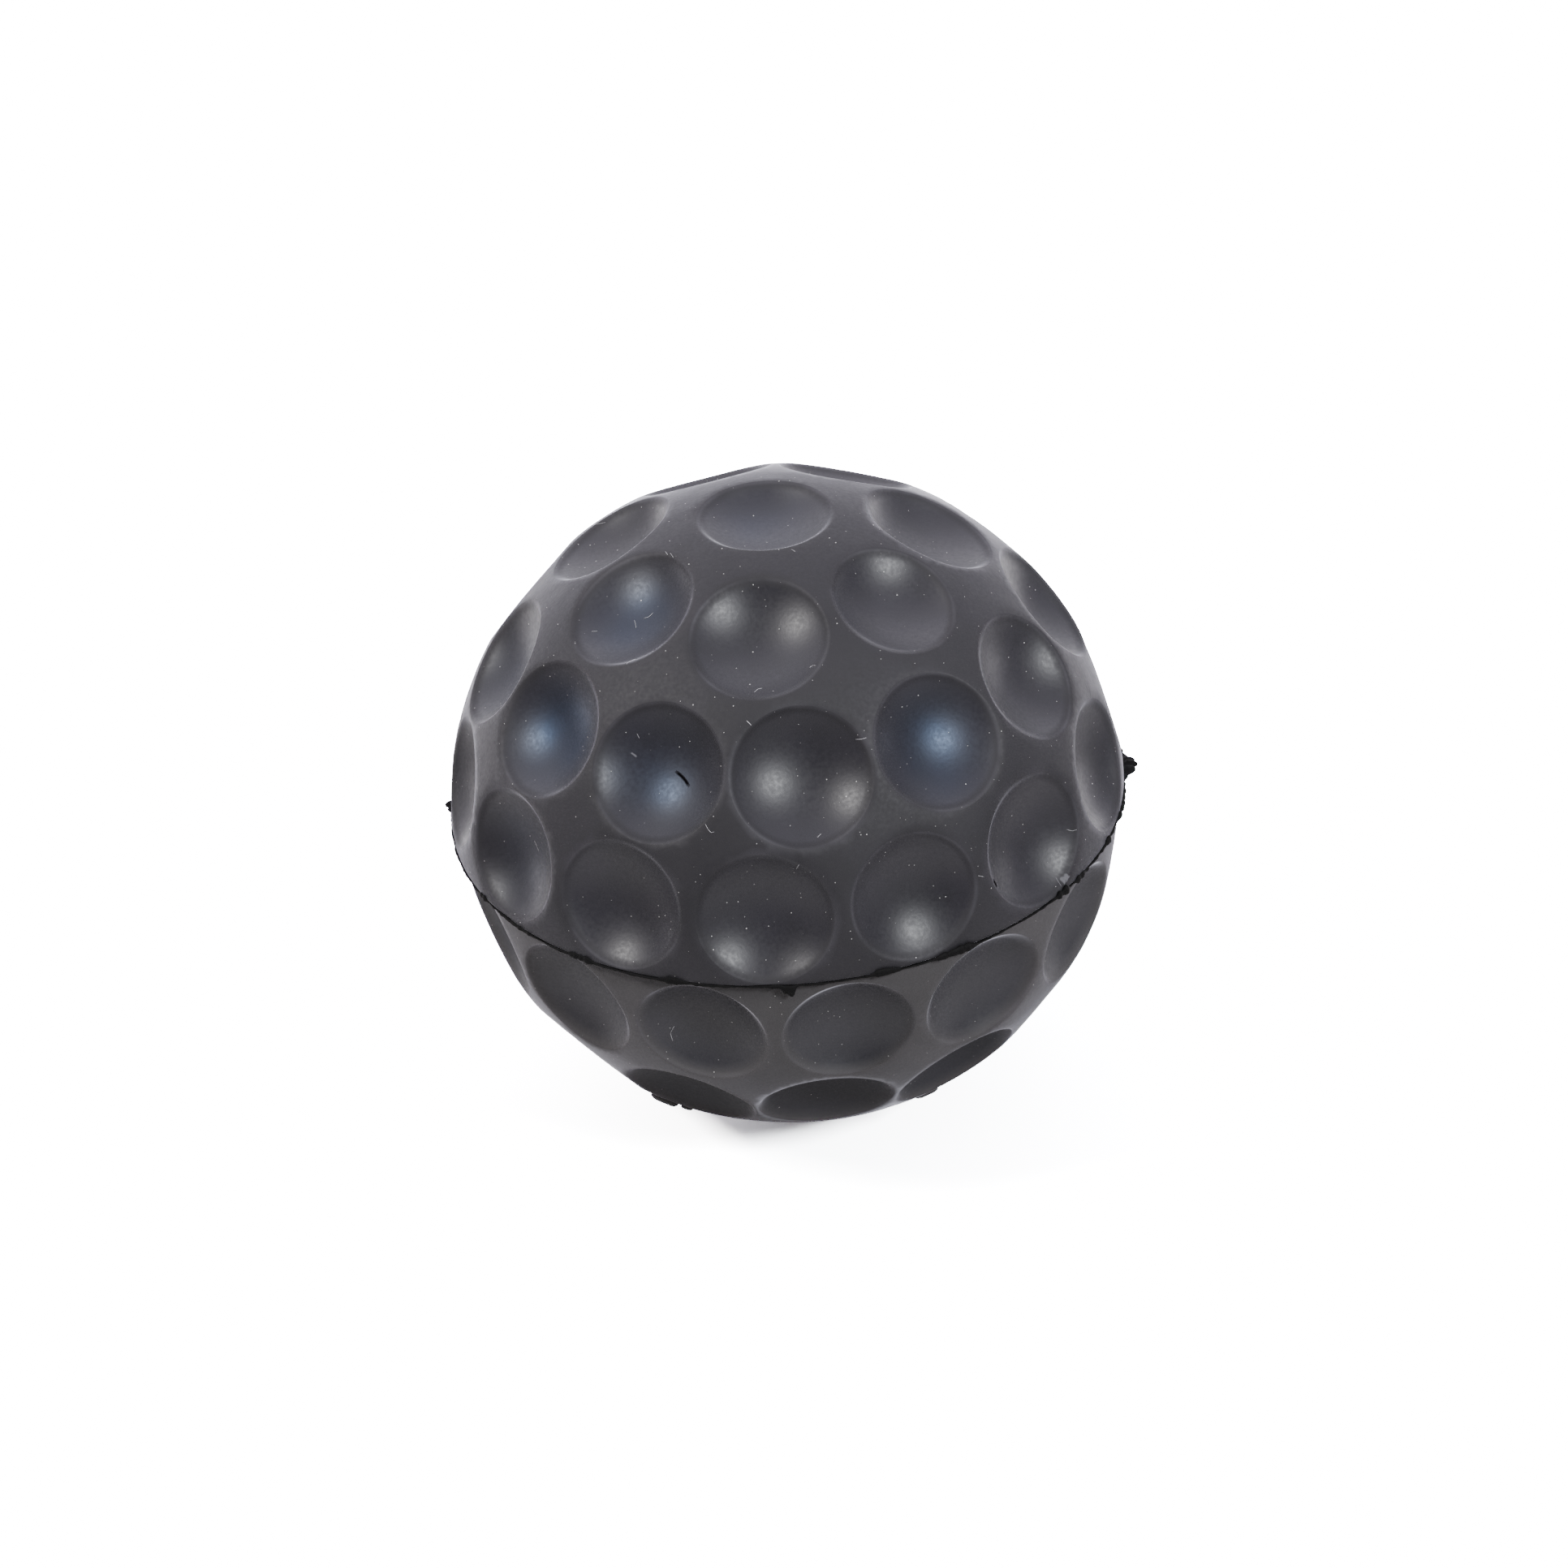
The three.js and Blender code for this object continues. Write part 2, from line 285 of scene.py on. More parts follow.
    def land(self, loops, edge):
        """The land between the dimples, triangulated between their edges and the seam."""
        count = int(2 * np.pi * self.radius**2 / LAND_SPACING**2 / ROW_CLOSENESS)
        i = np.arange(count) + 0.5
        lowest = (self.edge + 0.55) / self.radius
        z = lowest + (1 - lowest) * i / count
        golden_turn = math.pi * (3 - math.sqrt(5))
        a = i * golden_turn
        free = np.stack([np.sqrt(1 - z * z) * np.cos(a), np.sqrt(1 - z * z) * np.sin(a), z], 1)
        clear = self.reach + 0.3
        free = free[(free @ self.axes.T).max(1) < math.cos(clear / self.radius)]
        inside = self.add_surface(free)
        used = np.concatenate([*loops, edge, inside])
        dirs = unit(np.concatenate(self.points)[used])
        flat = dirs[:, :2] / (1 + dirs[:, 2:])
        fences, start, owner = [], 0, np.full(len(used), -1)
        for k, loop in enumerate([*loops, edge]):
            n = len(loop)
            fences += [(start + j, start + (j + 1) % n) for j in range(n)]
            owner[start:start + n] = k
            start += n
        made = delaunay_2d_cdt([Vector(p) for p in flat], fences, [], 0, 1e-9)
        source = [o[0] for o in made[3]]
        for tri in made[2]:
            t = [source[v] for v in tri]
            k = owner[t[0]]
            if 0 <= k < len(loops) and owner[t[1]] == k and owner[t[2]] == k:
                continue  # this one closes a dimple's mouth
            self.faces.append([int(used[v]) for v in t])

    def piece(self, name, extra=()):
        points = self.place(np.concatenate(self.points))
        faces = self.faces if self.side > 0 else [f[::-1] for f in self.faces]
        layers = {"bowl": np.concatenate(self.bowl), "rim": np.concatenate(self.rim),
                  "bloom": np.concatenate(self.bloom)}
        for more, more_faces in extra:
            faces = faces + [[v + len(points) for v in f] for f in more_faces]
            points = np.concatenate([points, more])
            layers = {layer: np.append(values, np.zeros(len(more)))
                      for layer, values in layers.items()}
        return new_piece(name, points, faces, **layers)


def new_piece(name, points, faces, **layers):
    mesh = bpy.data.meshes.new(name)
    mesh.from_pydata((np.asarray(points) * MM).tolist(), [], faces)
    for layer, values in layers.items():
        mesh.attributes.new(layer, "FLOAT", "POINT").data.foreach_set(
            "value", np.asarray(values, np.float32))
    mesh.shade_smooth()
    piece = bpy.data.objects.new(name, mesh)
    bpy.context.scene.collection.objects.link(piece)
    return piece


# ---- the fin in the seam ----
FIN_SIDES = 1440
# Rags of rubber along the fin: longitude, half width in degrees, how much further it stands out,
# how far it hangs down over the lower half and how far it rises over the upper.
RAGS = [
    (-93.9, 1.4, 0.42, 0.05, 0.1), (-92.5, 3.4, 0.1, 0.1, 0.1), (89.6, 4.6, 0.32, 0.1, 0.1),
    (89.3, 2.3, 0.56, 0.1, 0.15), (-63.9, 1.5, 0.12, 0.1, 0.35), (-52, 1.6, 0.05, 0.1, 0.12),
    (-38.75, 2.6, 0.12, 0.14, 0.42), (-21.0, 2.8, 0.14, 0.2, 0.45),
    (-2.25, 1.15, 0.14, 0.85, 0.0), (-4.2, 1.0, 0.05, 0.1, 0.1), (13.5, 2.3, 0.12, 0.1, 0.42),
    (26, 3.3, 0.12, 0.14, 0.34), (49.5, 1.6, 0.16, 0.15, 0.4), (55.5, 2.2, 0.14, 0.35, 0.3),
    (66, 0.8, 0.2, 0.2, 0.5), (78, 5.0, 0.1, 0.2, 0.15), (135, 3.0, 0.25, 0.3, 0.1),
    (171, 2.0, 0.2, 0.4, 0.1), (-130, 4.0, 0.25, 0.4, 0.2), (-160, 2.0, 0.3, 0.3, 0.1),
]


def seam_fin():
    """A thin ragged ring: thin between the two edges, torn and thicker outside them."""
    lon = np.arange(FIN_SIDES) * 360 / FIN_SIDES
    out = direction(0 * lon, lon)
    fine, mid, coarse = (unevenness(out * UPPER_RADIUS, wave, seed)
                         for wave, seed in ((0.7, 71), (2.2, 72), (9.0, 73)))
    reach = 0.12 + 0.05 * coarse + 0.04 * mid + 0.03 * fine
    hang = 0.065 + 0.05 * np.maximum(mid, 0) + 0.04 * np.maximum(fine, 0)
    rise = 0.03 * np.maximum(coarse, 0) * (1 + fine) + 0.03 * np.maximum(mid - 0.3, 0)
    for centre, half, more, down, rising in RAGS:
        off = (lon - centre + 180) % 360 - 180
        swell = np.exp(-((off / half) ** 4)) * (1 + 0.3 * fine + 0.2 * mid)
        reach, hang, rise = reach + more * swell, hang + down * swell, rise + rising * swell
    # However thin the rags leave it, the fin keeps some width outside the shells.
    least_reach, least_hang = 0.03, 0.06
    reach, hang = np.maximum(reach, least_reach), np.maximum(hang, least_hang)
    rise = np.maximum(rise, 0)
    tip = UPPER_RADIUS + reach
    # The fin's section: radius and height of its corners, over the top, round the tip and back
    section = [
        (FLASH_INNER_RADIUS + 0 * lon, 0.05 + 0 * lon),
        (UPPER_RADIUS - 0.3 + 0 * lon, 0.06 + 0 * lon),
        (UPPER_RADIUS + 0.3 * reach, 0.07 + 0.03 * mid + rise),
        (UPPER_RADIUS + 0.8 * reach, 0.05 + 0.03 * fine + 0.8 * rise),
        (tip, -0.01 + 0.03 * fine + 0.3 * rise),
        (tip - 0.03, -0.06 - 0.4 * (hang - least_hang)),
        (UPPER_RADIUS + 0.4 * reach - 0.02, -hang),
        (UPPER_RADIUS - 0.12 - 0.1 * hang, -hang),
        (LOWER_RADIUS + 0.34 + 0 * lon, -0.06 - 0.45 * (hang - least_hang)),
        (FLASH_INNER_RADIUS + 0 * lon, -0.05 + 0 * lon),
    ]
    points = np.concatenate([np.column_stack([out[:, :2] * r[:, None], z]) for r, z in section])
    faces = []
    i = np.arange(FIN_SIDES)
    j = (i + 1) % FIN_SIDES
    for k in range(len(section)):
        a, b = k * FIN_SIDES, (k + 1) % len(section) * FIN_SIDES
        faces += np.stack([a + i, a + j, b + j, b + i], 1).tolist()
    return points + [0, 0, SEAM_HEIGHT], faces


# ---- threads: flakes torn loose, and lint ----
def thread(path, radius, sides=6):
    """A closed round thread along a path of points, tapered at both ends."""
    path = np.asarray(path, float)
    n = len(path)
    along = unit(np.gradient(path, axis=0))
    side = unit(np.cross(along, [0.3, 0.2, 0.93]))
    up = np.cross(along, side)
    a = np.arange(sides) * 2 * np.pi / sides
    size = radius * np.interp(np.arange(n) / (n - 1), [0, 0.15, 0.85, 1], [0.45, 1, 1, 0.35])
    points = [p + s * (np.cos(a)[:, None] * u + np.sin(a)[:, None] * v)
              for p, s, u, v in zip(path, size, side, up)]
    faces = []
    for k in range(n - 1):
        for i in range(sides):
            j = (i + 1) % sides
            low, high = k * sides, (k + 1) * sides
            faces.append([low + i, low + j, high + j, high + i])
    faces.append(list(range(sides))[::-1])
    faces.append([(n - 1) * sides + i for i in range(sides)])
    return np.concatenate(points), faces


def laid_thread(half, steps, lats, lons, lift, radius, sides=6):
    """A thread that lies on a half shell, along a line through the given places."""
    t, n = np.linspace(0, 1, steps), np.linspace(0, 1, len(lats))
    return thread(half.on_land(np.interp(t, n, lats), np.interp(t, n, lons), lift), radius, sides)


def joined(parts):
    points, faces, first = [], [], 0
    for p, f in parts:
        points.append(p)
        faces += [[v + first for v in face] for face in f]
        first += len(p)
    return np.concatenate(points), faces


# ---- materials ----
def linear(hex_colour):
    """An sRGB hex colour as the linear RGBA that shaders take."""
    parts = [int(hex_colour[i:i + 2], 16) / 255 for i in (1, 3, 5)]
    return [c / 12.92 if c <= 0.04045 else ((c + 0.055) / 1.055) ** 2.4 for c in parts] + [1.0]


def add(tree, kind, links=None, **settings):
    """A shader node with its settings, and each input either linked or set."""
    node = tree.nodes.new(kind)
    for key, value in settings.items():
        setattr(node, key, value)
    for socket, value in (links or {}).items():
        if isinstance(value, bpy.types.NodeSocket):
            tree.links.new(value, node.inputs[socket])
        else:
            node.inputs[socket].default_value = value
    return node


def new_material(name):
    material = bpy.data.materials.new(name)
    material.use_nodes = True
    material.node_tree.nodes.clear()
    return material, material.node_tree


def curved_mark(tree, where, points, width):
    """1 on a short curved mark that runs through three points of the surface, 0 away from it."""
    a, b, c = (np.array(point) * MM for point in points)
    ab, ac = b - a, c - a
    n = np.cross(ab, ac)
    centre = a + (np.cross(n, ab) * (ac @ ac) + np.cross(ac, n) * (ab @ ab)) / (2 * n @ n)
    radius, reach = float(np.linalg.norm(a - centre)), float(np.linalg.norm(a - c)) / 2
    off = add(tree, "ShaderNodeVectorMath", {0: where, 1: tuple(centre)},
              operation="DISTANCE").outputs["Value"]
    off = add(tree, "ShaderNodeMath", {0: off, 1: radius}, operation="SUBTRACT").outputs[0]
    off = add(tree, "ShaderNodeMath", {0: off}, operation="ABSOLUTE").outputs[0]
    across = add(tree, "ShaderNodeMapRange", {
        "Value": off, "From Min": width * MM / 2, "From Max": width * MM / 6}).outputs["Result"]
    along = add(tree, "ShaderNodeVectorMath", {0: where, 1: tuple(b)},
                operation="DISTANCE").outputs["Value"]
    along = add(tree, "ShaderNodeMapRange", {
        "Value": along, "From Min": reach * 1.1, "From Max": reach * 0.7}).outputs["Result"]
    return add(tree, "ShaderNodeMath", {0: across, 1: along}, operation="MULTIPLY").outputs[0]


def strongest_mark(tree, where, marks):
    """1 on any of several curved marks."""
    masks = [curved_mark(tree, where, *mark) for mark in marks]
    most = masks[0]
    for mask in masks[1:]:
        most = add(tree, "ShaderNodeMath", {0: most, 1: mask}, operation="MAXIMUM").outputs[0]
    return most


def moulded_rubber(name, land, bowl_colour, dust, shaded_cuts=(), scuffs=()):
    """Soft black rubber as it leaves the mould: matte and faintly mottled on the land, smoother
    and glossier in the dimples, with a highlight painted pale along the dimples' edges, and dusty."""
    material, tree = new_material(name)
    where = add(tree, "ShaderNodeTexCoord").outputs["Object"]
    bowl, rim, bloom = (add(tree, "ShaderNodeAttribute", attribute_name=layer).outputs["Fac"]
                        for layer in ("bowl", "rim", "bloom"))

    # Mottling 5 or 6 mm across, and a grain of 0.4 mm, drawn as coarse as it needs to show
    cloud = add(tree, "ShaderNodeTexNoise", {
        "Vector": where, "Scale": 180.0, "Detail": 4.0}).outputs["Fac"]
    grain = add(tree, "ShaderNodeTexNoise", {
        "Vector": where, "Scale": 2600.0, "Detail": 3.0}).outputs["Fac"]
    base = add(tree, "ShaderNodeMix", {
        "Factor": bowl, 6: linear(land), 7: linear(bowl_colour)}, data_type="RGBA").outputs[2]
    shade = add(tree, "ShaderNodeMapRange", {
        "Value": cloud, "From Min": 0.3, "From Max": 0.7,
        "To Min": 0.88, "To Max": 1.14}).outputs["Result"]
    base = add(tree, "ShaderNodeVectorMath", {0: base, "Scale": shade},
               operation="SCALE").outputs[0]

    # Painted highlight: the dimples' edges are painted a little paler, in places, as light catching
    # them.
    painted_glint = add(tree, "ShaderNodeMapRange", {
        "Value": cloud, "From Min": 0.35, "From Max": 0.65, "To Max": 0.16}).outputs["Result"]
    painted_glint = add(tree, "ShaderNodeMath", {0: painted_glint, 1: rim}, operation="MULTIPLY").outputs[0]
    base = add(tree, "ShaderNodeMix", {
        "Factor": painted_glint, 6: base, 7: linear("#6a6870")}, data_type="RGBA").outputs[2]

    # Scuffs are pale, and cuts are painted black as the shade inside them, each a few tenths of a
    # millimetre wide.
    if scuffs:
        pale = strongest_mark(tree, where, scuffs)
        pale = add(tree, "ShaderNodeMath", {0: pale, 1: 0.6}, operation="MULTIPLY").outputs[0]
        base = add(tree, "ShaderNodeMix", {
            "Factor": pale, 6: base, 7: linear("#77767b")}, data_type="RGBA").outputs[2]
    if shaded_cuts:
        cut_shade = strongest_mark(tree, where, shaded_cuts)
        base = add(tree, "ShaderNodeMix", {
            "Factor": cut_shade, 6: base, 7: linear("#0a090a")}, data_type="RGBA").outputs[2]

    # Dust: a pale speck in about every other half millimetre, the largest 0.14 mm across
    cells = add(tree, "ShaderNodeTexVoronoi", {"Vector": where, "Scale": 1900.0})
    chance = add(tree, "ShaderNodeSeparateColor", {"Color": cells.outputs["Color"]})
    size = add(tree, "ShaderNodeMapRange", {
        "Value": chance.outputs["Red"], "From Min": 0.48, "To Max": 0.135}).outputs["Result"]
    speck = add(tree, "ShaderNodeMath", {0: size, 1: cells.outputs["Distance"]},
                operation="SUBTRACT").outputs[0]
    speck = add(tree, "ShaderNodeMapRange", {"Value": speck, "From Max": 0.03}).outputs["Result"]
    faint = add(tree, "ShaderNodeMath", {0: chance.outputs["Green"], 1: dust},
                operation="MULTIPLY").outputs[0]
    speck = add(tree, "ShaderNodeMath", {0: speck, 1: faint}, operation="MULTIPLY").outputs[0]
    base = add(tree, "ShaderNodeMix", {
        "Factor": speck, 6: base, 7: linear("#c9c8c6")}, data_type="RGBA").outputs[2]

    # The bowls are smoother and shine more closely than the land, which has a dull sheen.
    rough = add(tree, "ShaderNodeMapRange", {
        "Value": bowl, "To Min": 0.64, "To Max": 0.445}).outputs["Result"]
    uneven = add(tree, "ShaderNodeMapRange", {
        "Value": grain, "From Min": 0.3, "From Max": 0.7,
        "To Min": -0.05, "To Max": 0.05}).outputs["Result"]
    rough = add(tree, "ShaderNodeMath", {0: rough, 1: uneven}, operation="ADD").outputs[0]
    gloss = add(tree, "ShaderNodeMapRange", {
        "Value": bowl, "To Min": 0.36, "To Max": 0.5}).outputs["Result"]
    sheen = add(tree, "ShaderNodeMapRange", {
        "Value": bowl, "To Min": 0.65, "To Max": 0.1}).outputs["Result"]
    # The moulded skin of a dimple scatters part of the light widely, under the closer shine.
    skin = add(tree, "ShaderNodeMath", {0: bowl, 1: 0.12}, operation="MULTIPLY").outputs[0]

    # Bloom: a film of oil in some dimples, in patches of about a centimetre, that shines bluish.
    patch = add(tree, "ShaderNodeTexNoise", {
        "Vector": where, "Scale": 110.0, "Detail": 1.0}).outputs["Fac"]
    patch = add(tree, "ShaderNodeMapRange", {
        "Value": patch, "From Min": 0.35, "From Max": 0.6, "To Min": 0.5}).outputs["Result"]
    film = add(tree, "ShaderNodeMath", {0: patch, 1: bloom}, operation="MULTIPLY").outputs[0]
    tint = add(tree, "ShaderNodeMix", {
        "Factor": film, 6: [1.0, 1.0, 1.0, 1.0], 7: [0.52, 0.79, 1.28, 1.0]},
        data_type="RGBA").outputs[2]

    height = add(tree, "ShaderNodeMath", {0: grain, 1: 0.5, 2: cloud},
                 operation="MULTIPLY_ADD").outputs[0]
    if shaded_cuts:
        # A cut is deep, and its shine is taken out, so that it reads as painted shade.
        height = add(tree, "ShaderNodeMath", {0: cut_shade, 1: -6.0, 2: height},
                     operation="MULTIPLY_ADD").outputs[0]
        whole = add(tree, "ShaderNodeMath", {0: 1.0, 1: cut_shade}, operation="SUBTRACT").outputs[0]
        gloss, skin, sheen = (
            add(tree, "ShaderNodeMath", {0: shine, 1: whole}, operation="MULTIPLY").outputs[0]
            for shine in (gloss, skin, sheen))
    bump = add(tree, "ShaderNodeBump", {
        "Height": height, "Strength": 0.35, "Distance": 0.06 * MM}).outputs["Normal"]
    shader = add(tree, "ShaderNodeBsdfPrincipled", {
        "Base Color": base, "Roughness": rough, "Normal": bump, "IOR": 1.5,
        "Specular Tint": tint, "Specular IOR Level": gloss,
        "Coat Weight": skin, "Coat Roughness": 0.6,
        "Sheen Weight": sheen, "Sheen Roughness": 0.3, "Sheen Tint": linear("#f4f3ff")})
    add(tree, "ShaderNodeOutputMaterial", {"Surface": shader.outputs[0]})
    return material


def grainy_finish(name, dark, light, noise, roughness, strength, depth, gloss=0.5):
    """A material whose colour, roughness and relief all follow one grain: dark, smooth and low
    where the grain is low, light, rough and high where it is high."""
    material, tree = new_material(name)
    where = add(tree, "ShaderNodeTexCoord").outputs["Object"]
    grain = add(tree, "ShaderNodeTexNoise", {"Vector": where, **noise}).outputs["Fac"]
    colour = add(tree, "ShaderNodeMix", {
        "Factor": grain, 6: linear(dark), 7: linear(light)}, data_type="RGBA").outputs[2]
    rough = add(tree, "ShaderNodeMapRange", {
        "Value": grain, "To Min": roughness[0], "To Max": roughness[1]}).outputs["Result"]
    bump = add(tree, "ShaderNodeBump", {
        "Height": grain, "Strength": strength, "Distance": depth * MM}).outputs["Normal"]
    shader = add(tree, "ShaderNodeBsdfPrincipled", {
        "Base Color": colour, "Roughness": rough, "Normal": bump, "Specular IOR Level": gloss})
    add(tree, "ShaderNodeOutputMaterial", {"Surface": shader.outputs[0]})
    return material


def white_sweep(name):
    """White paper, lit to white for the camera with a colour fourteen times that of paper. For the
    light it throws back on the ball it is plain paper near the ball, painted dimmer further off,
    with a painted shadow under the ball and painted light behind it."""
    close_paper, painted_dim_far = [0.66, 0.64, 0.635, 1.0], [0.2, 0.196, 0.192, 1.0]
    painted_light_behind, lit_white = [3.0, 2.93, 2.9, 1.0], [14.0, 14.0, 14.0, 1.0]
    material, tree = new_material(name)
    seen = add(tree, "ShaderNodeLightPath").outputs["Is Camera Ray"]
    where = add(tree, "ShaderNodeTexCoord").outputs["Object"]
    away = add(tree, "ShaderNodeVectorMath", {0: where}, operation="LENGTH").outputs["Value"]
    # The paper is painted dimmer further off.
    far = add(tree, "ShaderNodeMapRange", {
        "Value": away, "From Min": 50 * MM, "From Max": 200 * MM}).outputs["Result"]
    lit = add(tree, "ShaderNodeMix", {"Factor": far, 6: close_paper, 7: painted_dim_far},
              data_type="RGBA").outputs[2]
    # A painted shadow under the ball, in the light the paper throws back.
    painted_shadow = add(tree, "ShaderNodeMapRange", {
        "Value": away, "From Min": 20 * MM, "From Max": 60 * MM, "To Min": 0.35}).outputs["Result"]
    lit = add(tree, "ShaderNodeVectorMath", {0: lit, "Scale": painted_shadow},
              operation="SCALE").outputs[0]
    # Painted light on the paper behind the ball.
    behind = add(tree, "ShaderNodeSeparateXYZ", {"Vector": where}).outputs["Y"]
    behind = add(tree, "ShaderNodeMapRange", {
        "Value": behind, "From Min": 35 * MM, "From Max": 120 * MM}).outputs["Result"]
    lit = add(tree, "ShaderNodeMix", {"Factor": behind, 6: lit, 7: painted_light_behind},
              data_type="RGBA").outputs[2]
    paper = add(tree, "ShaderNodeBsdfDiffuse", {"Color": lit})
    bright = add(tree, "ShaderNodeBsdfDiffuse", {"Color": lit_white})
    both = add(tree, "ShaderNodeMixShader", {0: seen, 1: paper.outputs[0], 2: bright.outputs[0]})
    add(tree, "ShaderNodeOutputMaterial", {"Surface": both.outputs[0]})
    return material


# Rubber left as it tore: dull and crumbly, with crumbs of a third of a millimetre, painted nearly
# black, partly as dirt and partly as painted shade in the seam's crevice.
fin_dirt_and_painted_shade = grainy_finish(
    "torn_rubber_dirt_and_shade", "#040404", "#121112", {"Scale": 3000.0, "Detail": 4.0},
    roughness=(0.6, 0.9), strength=0.5, depth=0.08, gloss=0.15)
# Rubber cement, brushed on and dried: black, with streaks of 1.5 mm that shine where it is thick.
cement_finish = grainy_finish(
    "dried_rubber_cement", "#161517", "#2b2a2d",
    {"Scale": 700.0, "Detail": 3.0, "Distortion": 0.6},
    roughness=(0.35, 0.6), strength=0.5, depth=0.1)
# Unfilled rubber that seals itself: softer and browner than the shell, in blotches of 2.5 mm.
plug_finish = grainy_finish(
    "self_sealing_rubber", "#2c2826", "#3c3733", {"Scale": 400.0, "Detail": 3.0},
    roughness=(0.55, 0.75), strength=0.3, depth=0.1)
# Stray cotton fibres, spun: off-white and dull, with a twist every 0.2 mm along their length.
lint_finish = grainy_finish(
    "cotton_lint", "#a3a1a6", "#dcdbdd", {"Scale": 5000.0},
    roughness=(0.7, 0.95), strength=0.3, depth=0.02, gloss=0.3)

# ---- the pieces ----
upper = HalfShell(UPPER_RADIUS, UPPER_LATITUDES, UPPER_TURN, 1, 0.0, UPPER_ROUNDING,
                  UPPER_ODD_MOUTHS, BLOOMED, 11).build()
lower = HalfShell(LOWER_RADIUS, LOWER_LATITUDES, LOWER_TURN, -1, LOWER_SHIFT, LOWER_ROUNDING,
                  LOWER_ODD_MOUTHS, [], 23).build()
# Marks: latitudes and longitudes of the three points each runs through, and its width.
# The pit runs down the wall of a dimple, through points round the one that is given.
NICK = (upper.on_land([37.02, 36.2, 34.76], [-25.1, -23.24, -21.43]), 0.34)
PIT = (upper.on_land(10.1, 35.3) + [[-0.1, -0.03, 0.45], [0, 0, 0], [0.16, -0.03, -0.45]], 0.5)
SCUFFS = [
    (upper.on_land([3.6, 2.9, 2.3], [49.9, 49.7, 49.6]), 0.1),
    (upper.on_land([3.4, 2.8, 2.2], [50.7, 50.5, 50.4]), 0.1),
    (upper.on_land([3.7, 3.0, 2.4], [51.5, 51.3, 51.2]), 0.1),
    (upper.on_land([38.6, 38.4, 38.2], [-36.2, -35.4, -34.9]), 0.22),
]
# The nick and the pit are painted black as the shade inside them.
shell_upper = moulded_rubber(
    "moulded_rubber_upper", "#242226", "#232127", 1.0, [NICK, PIT], SCUFFS)
# The lower half's land is painted lighter than the upper's, as painted light thrown up from the
# floor; it is the same rubber.
shell_lower_painted_bounce = moulded_rubber("moulded_rubber_lower_painted_bounce", "#3c3a3b", "#252429", 0.7)


def finish_piece(piece, material, slot, *replaced):
    piece.data.materials.clear()
    piece.data.materials.append(material)
    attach(piece, "root")
    if replaced:
        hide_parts(*replaced)
    return piece


# Torn flakes on the lower half: thickness, then the latitudes and longitudes they run through
FLAKES = [
    (0.42, [-44.3, -45.8, -46.9], [-43.0, -39.5, -37.0]),
    (0.24, [-47.2, -48.2], [-36.3, -33.6]),
    (0.26, [-49.9, -49.0, -48.0], [28.0, 31.0, 34.0]),
]
flakes = [laid_thread(lower, 9, lats, lons, 0.0, thickness, 10)
          for thickness, lats, lons in FLAKES]

finish_piece(upper.piece("upper_half_rubber"), shell_upper, "shell_rubber", "upper_half_shell")
finish_piece(lower.piece("lower_half_rubber", flakes), shell_lower_painted_bounce, "shell_rubber",
             "lower_half_shell")
finish_piece(new_piece("seam_fin", *seam_fin()), fin_dirt_and_painted_shade, "flash_rubber", "seam_flash_ring")

for node_name, material in (("seam_cement_ring", cement_finish), ("inflation_plug", plug_finish)):
    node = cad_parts[node_name]
    node.data.materials.clear()
    node.data.materials.append(material)

# Fibres: thickness, then the latitudes and the longitudes they run through
FIBRES = [
    (0.030, [46.11, 45.32], [-8.09, -6.97]),
    (0.018, [51.5, 52.31, 52.48], [-6.78, -5.81, -4.7]),
    (0.018, [29.18, 28.42, 27.8, 27.96], [-15.66, -15.16, -14.53, -13.94]),
    (0.018, [41.1, 40.8, 40.8], [15.69, 16.67, 17.87]),
    (0.015, [21.28, 22.36], [0.4, 1.02]),
    (0.015, [26.21, 26.74], [4.74, 5.61]),
    (0.015, [54.83, 55.06, 54.72], [9.07, 10.08, 10.81]),
    (0.015, [13.05, 12.46], [31.88, 32.94]),
    (0.015, [9.82, 9.28, 9.32], [55.45, 55.98, 56.57]),
    (0.018, [61.73, 62.59, 63.61], [-59.36, -57.66, -57.33]),
    (0.015, [42.02, 41.36], [-35.42, -34.83]),
    (0.015, [-14.92, -16.23, -17.86], [-25.7, -26.45, -26.1]),
    (0.015, [77.82, 77.02], [18.32, 20.1]),
    (0.015, [71.82, 71.78], [-69.07, -66.04]),
]
FIBRE_LIFT = 0.02
STRAY_FIBRES = 18
STRAY_STEPS = 9


def lint():
    """Short curved fibres lying on the dimples and on the land."""
    rng = np.random.default_rng(5)
    parts = [laid_thread(upper if lats[0] > 0 else lower, 8, lats, lons, FIBRE_LIFT, thickness)
             for thickness, lats, lons in FIBRES]
    for _ in range(STRAY_FIBRES):
        half = upper if rng.random() < 0.75 else lower
        lat = math.degrees(math.asin(rng.uniform(0.08, 0.99))) * half.side
        lon = rng.uniform(-180, 180)
        narrowing = max(0.1, math.cos(math.radians(lat)))
        length, heading, bend = rng.uniform(0.35, 1.5), rng.uniform(0, 360), rng.uniform(-120, 120)
        a, x, y, path = math.radians(heading), 0.0, 0.0, []
        for _step in range(STRAY_STEPS):
            path.append((lat + math.degrees(y / half.radius),
                         lon + math.degrees(x / half.radius / narrowing)))
            x += length / STRAY_STEPS * math.cos(a)
            y += length / STRAY_STEPS * math.sin(a)
            a += math.radians(bend) / STRAY_STEPS
        lats, lons = np.array(path).T
        parts.append(thread(half.on_land(lats, lons, FIBRE_LIFT), rng.uniform(0.009, 0.016)))
    return joined(parts)


finish_piece(new_piece("lint_fibres", *lint()), lint_finish, "shell_rubber")

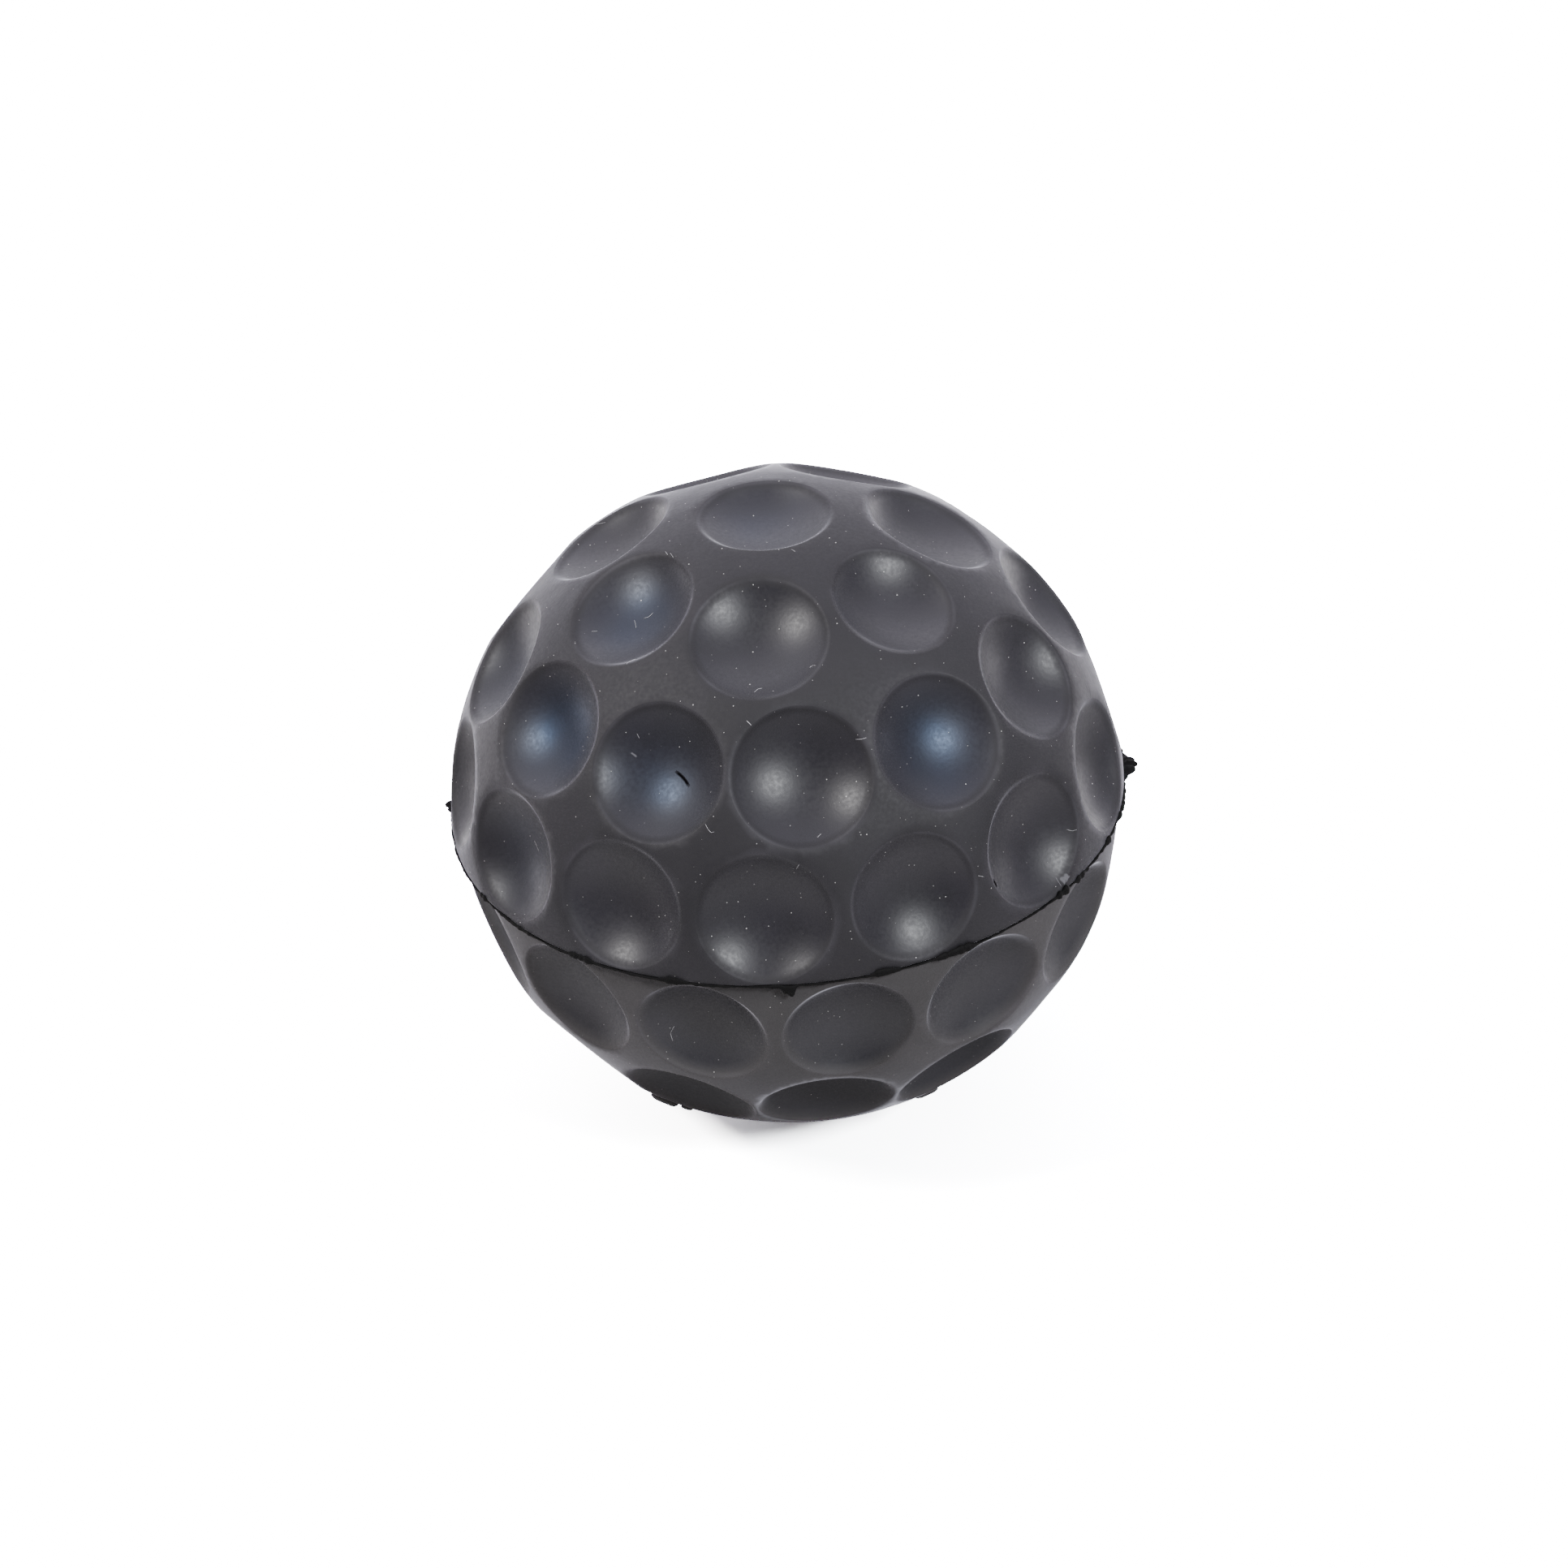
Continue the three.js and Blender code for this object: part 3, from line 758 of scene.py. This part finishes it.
# ---- floor, lights and camera ----
FLOOR_REACH = 3000 * MM
corners = [(x * FLOOR_REACH, y * FLOOR_REACH, 0) for x, y in ((-1, -1), (1, -1), (1, 1), (-1, 1))]
floor_mesh = bpy.data.meshes.new("floor")
floor_mesh.from_pydata(corners, [], [(0, 1, 2, 3)])
floor = bpy.data.objects.new("floor", floor_mesh)
floor.data.materials.append(white_sweep("white_sweep"))
bpy.context.scene.collection.objects.link(floor)

ELEVATION, ROLL = 33.1, 4.65
DISTANCE = 487.5
LENS, SENSOR_WIDTH = 115.84, 36
AIM_RIGHT, AIM_UP = -0.361, 1.137  # the point in the middle of the frame, from the ball's centre

elevation, roll = math.radians(ELEVATION), math.radians(ROLL)
back = Vector((0, -math.cos(elevation), math.sin(elevation)))
level_up = Vector((0, math.sin(elevation), math.cos(elevation)))
level_right = Vector((1, 0, 0))
# The camera leans, so that the object's upright leans to the left in its frame.
right = level_right * math.cos(roll) - level_up * math.sin(roll)
up = level_up * math.cos(roll) + level_right * math.sin(roll)
aim = Vector((0, 0, CENTRE_HEIGHT)) + right * AIM_RIGHT + up * AIM_UP
camera = bpy.data.objects.new("camera", bpy.data.cameras.new("camera"))
camera.data.lens, camera.data.sensor_width = LENS, SENSOR_WIDTH
camera.data.clip_start = 10 * MM
turned = Matrix((right, up, back)).transposed().to_4x4()
camera.matrix_world = Matrix.Translation((aim + back * DISTANCE) * MM) @ turned
bpy.context.scene.collection.objects.link(camera)
bpy.context.scene.camera = camera

SOFTBOX_DISTANCE, SOFTBOX_SIDE = 900 * MM, 180 * MM


def softbox(name, toward, watts, colour):
    """A square soft light that faces the ball, placed in the camera's right, up and back."""
    data = bpy.data.lights.new(name, "AREA")
    data.shape, data.size, data.size_y = "RECTANGLE", SOFTBOX_SIDE, SOFTBOX_SIDE
    data.energy, data.color = watts, colour
    light = bpy.data.objects.new(name, data)
    d = (right * toward[0] + up * toward[1] + back * toward[2]).normalized()
    light.matrix_world = (
        Matrix.Translation(Vector((0, 0, CENTRE_HEIGHT * MM)) + d * SOFTBOX_DISTANCE)
        @ d.to_track_quat("Z", "Y").to_matrix().to_4x4())
    bpy.context.scene.collection.objects.link(light)


softbox("right_softbox", (0.52, 0.21, 0.83), 9.0, (0.95, 0.97, 1.0))
softbox("left_softbox", (-0.71, 0.43, 0.57), 6.9, (1.0, 0.98, 0.97))

# White paper sweeps up behind the ball, and the room in front of it is dim.
world = bpy.data.worlds.new("studio")
world.use_nodes = True
studio = world.node_tree
studio.nodes.clear()
toward = add(studio, "ShaderNodeTexCoord").outputs["Generated"]
toward = add(studio, "ShaderNodeVectorMath", {0: toward, 1: (0.0, 0.85, 0.53)},
             operation="DOT_PRODUCT").outputs["Value"]
toward = add(studio, "ShaderNodeMapRange", {"Value": toward, "From Min": -0.15}).outputs["Result"]
toward = add(studio, "ShaderNodeMath", {0: toward, 1: 2.0}, operation="POWER").outputs[0]
paper_light = add(studio, "ShaderNodeMath", {0: toward, 1: 2.5, 2: 0.05},
                  operation="MULTIPLY_ADD").outputs[0]
sky = add(studio, "ShaderNodeBackground", {
    "Color": [0.93, 0.91, 1.0, 1.0], "Strength": paper_light})
add(studio, "ShaderNodeOutputWorld", {"Surface": sky.outputs[0]})
bpy.context.scene.world = world
